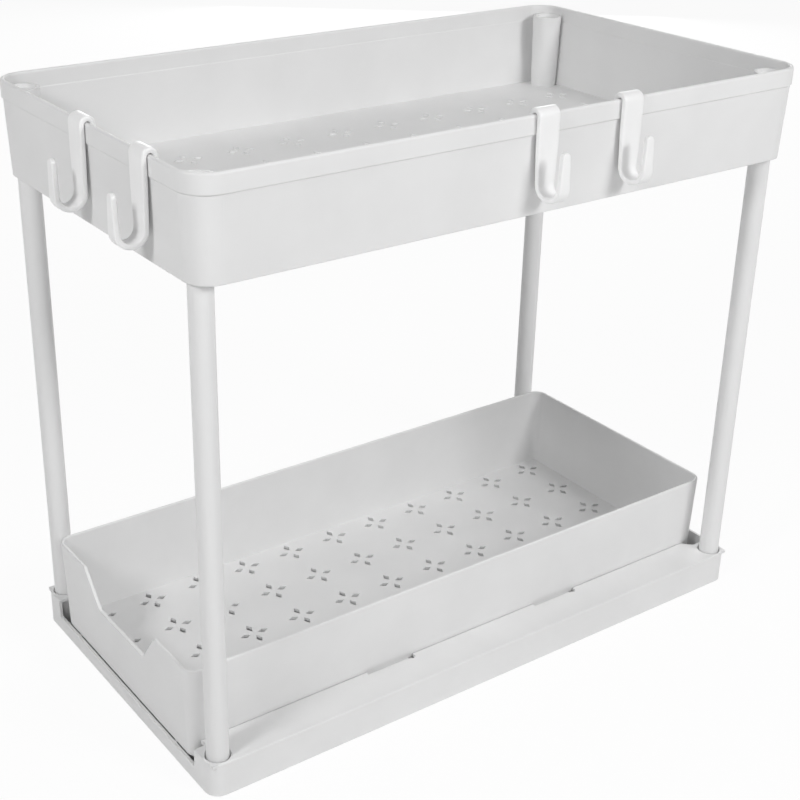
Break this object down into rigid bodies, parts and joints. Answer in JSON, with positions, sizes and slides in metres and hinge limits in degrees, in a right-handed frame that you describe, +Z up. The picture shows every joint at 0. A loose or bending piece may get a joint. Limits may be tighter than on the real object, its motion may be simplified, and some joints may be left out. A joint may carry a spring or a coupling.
{
  "type": "under sink organizer",
  "caption": "Two-tier plastic organizer: a base with a pull-out tray, an upper basket on round posts, and lift-off hooks over the basket's rim.",
  "frame": {"origin": "centre of the base's underside, on the surface the organizer stands on", "axes": "+Z up; Y is the long way and the tray pulls out towards -Y; +X is the long side with two of the hooks"},
  "size_m": [0.2449, 0.4215, 0.3543],
  "materials": {
    "base_plastic": "off-white moulded plastic, fine satin grain",
    "post_plastic": "off-white drawn plastic tube, satin",
    "basket_plastic": "off-white moulded plastic, fine satin grain",
    "tray_plastic": "off-white moulded plastic, fine satin grain",
    "hook_plastic": "white moulded plastic, semi-gloss"
  },
  "bodies": {
    "frame": {"base": "base_plastic", "post_front_left": "post_plastic", "post_front_right": "post_plastic", "post_rear_left": "post_plastic", "post_rear_right": "post_plastic", "upper_basket": "basket_plastic"},
    "tray": {"pull_out_tray": "tray_plastic"},
    "front_left_hook": {"hook_front_left": "hook_plastic"},
    "front_right_hook": {"hook_front_right": "hook_plastic"},
    "side_front_hook": {"hook_side_front": "hook_plastic"},
    "side_rear_hook": {"hook_side_rear": "hook_plastic"}
  },
  "joints": [
    {"name": "tray_slide", "type": "slide", "parent": "frame", "child": "tray", "axis": [0, -1, 0], "range_m": [0, 0.2]},
    {"name": "front_left_hook_lift", "type": "slide", "parent": "frame", "child": "front_left_hook", "axis": [0, 0, 1], "range_m": [0, 0.05]},
    {"name": "front_right_hook_lift", "type": "slide", "parent": "frame", "child": "front_right_hook", "axis": [0, 0, 1], "range_m": [0, 0.05]},
    {"name": "side_front_hook_lift", "type": "slide", "parent": "frame", "child": "side_front_hook", "axis": [0, 0, 1], "range_m": [0, 0.05]},
    {"name": "side_rear_hook_lift", "type": "slide", "parent": "frame", "child": "side_rear_hook", "axis": [0, 0, 1], "range_m": [0, 0.05]}
  ]
}
